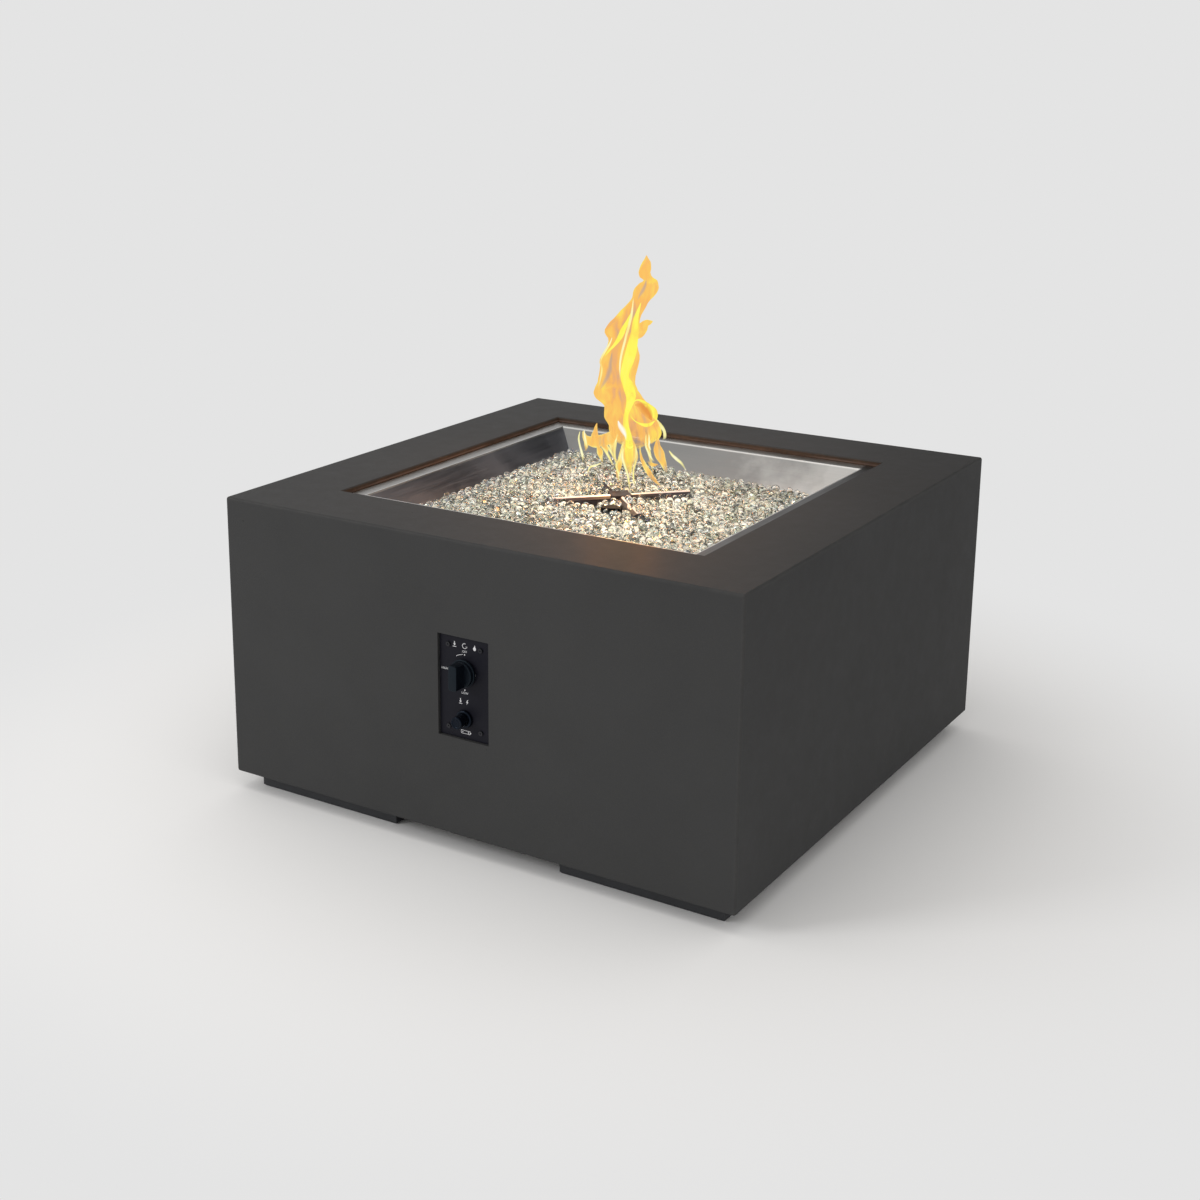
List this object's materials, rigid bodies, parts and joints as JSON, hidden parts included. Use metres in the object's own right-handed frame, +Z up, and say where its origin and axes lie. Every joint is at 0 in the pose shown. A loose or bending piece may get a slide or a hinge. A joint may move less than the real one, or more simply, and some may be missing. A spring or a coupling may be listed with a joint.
{
  "type": "fire pit table",
  "caption": "Low square concrete table on corner feet with a recessed pan of fire glass, star burner and flame, and a recessed front panel with push-and-turn gas knob and igniter button.",
  "frame": {"origin": "on the floor under the centre of the burner", "axes": "+Z up, control panel towards -Y, +X to the right of someone facing the panel"},
  "size_m": [0.914, 0.9415, 0.8638],
  "materials": {
    "concrete": "matt cast concrete, charcoal",
    "foot_black": "matt black moulded",
    "pan_steel": "brushed stainless sheet",
    "burner_steel": "heat-darkened stainless",
    "brass": "machined brass",
    "copper": "drawn copper",
    "zinc_steel": "zinc-plated steel",
    "panel_black": "black powder coat with printed dial marks",
    "valve_alloy": "die-cast",
    "knob_black": "moulded, fine satin",
    "igniter_black": "moulded, satin",
    "ceramic_white": "unglazed",
    "wire_black": "matt sleeve",
    "hose_steel": "corrugated stainless",
    "glass_clear": "clear lustrous fire glass",
    "flame_glow": "glowing, translucent",
    "battery_sleeve": "plain wrapped cell"
  },
  "bodies": {
    "table": {"concrete_shell": "concrete", "foot_front_left": "foot_black", "foot_front_right": "foot_black", "foot_rear_left": "foot_black", "foot_rear_right": "foot_black", "foot_bolts": "zinc_steel", "foot_inserts": "brass", "burner_pan": "pan_steel", "burner_hub": "burner_steel", "burner_arms": "burner_steel", "burner_end_caps": "burner_steel", "burner_nipple": "brass", "burner_locknuts": "brass", "air_mixer": "valve_alloy", "gas_orifice": "brass", "burner_elbow": "brass", "gas_hose": "hose_steel", "hose_nuts": "brass", "ignition_bracket": "pan_steel", "pilot_hood": "burner_steel", "bracket_screws": "zinc_steel", "bracket_nuts": "zinc_steel", "spark_electrode": "zinc_steel", "electrode_insulator": "ceramic_white", "thermocouple_probe": "copper", "thermocouple_lead": "copper", "ignition_wire": "wire_black", "fire_glass": "glass_clear", "flame": "flame_glow", "control_panel": "panel_black", "panel_screws": "panel_black", "panel_inserts": "brass", "gas_valve_body": "valve_alloy", "valve_screws": "zinc_steel", "magnet_unit": "brass", "thermocouple_nut": "brass", "gas_inlet_elbow": "brass", "stem_spring": "zinc_steel", "igniter_barrel": "igniter_black", "igniter_nut": "igniter_black", "igniter_spring": "zinc_steel", "igniter_battery": "battery_sleeve", "igniter_terminals": "brass"},
    "valve_plunger": {"valve_plunger": "zinc_steel"},
    "knob": {"control_knob": "knob_black", "valve_stem": "brass"},
    "igniter_button": {"igniter_button": "igniter_black"}
  },
  "joints": [
    {"name": "knob_push", "type": "slide", "parent": "table", "child": "valve_plunger", "axis": [0, 1, 0], "range_m": [0, 0.003], "stiffness_N_per_m": 1500, "springref_m": -0.003, "deforming": ["stem_spring"]},
    {"name": "knob_turn", "type": "hinge", "parent": "valve_plunger", "child": "knob", "pos_m": [0, -0.452, 0.294], "axis": [0, 1, 0], "range_deg": [0, 180], "deforming": ["flame"]},
    {"name": "igniter_press", "type": "slide", "parent": "table", "child": "igniter_button", "axis": [0, 1, 0], "range_m": [0, 0.004], "stiffness_N_per_m": 1200, "springref_m": -0.003, "deforming": ["igniter_spring"]}
  ]
}
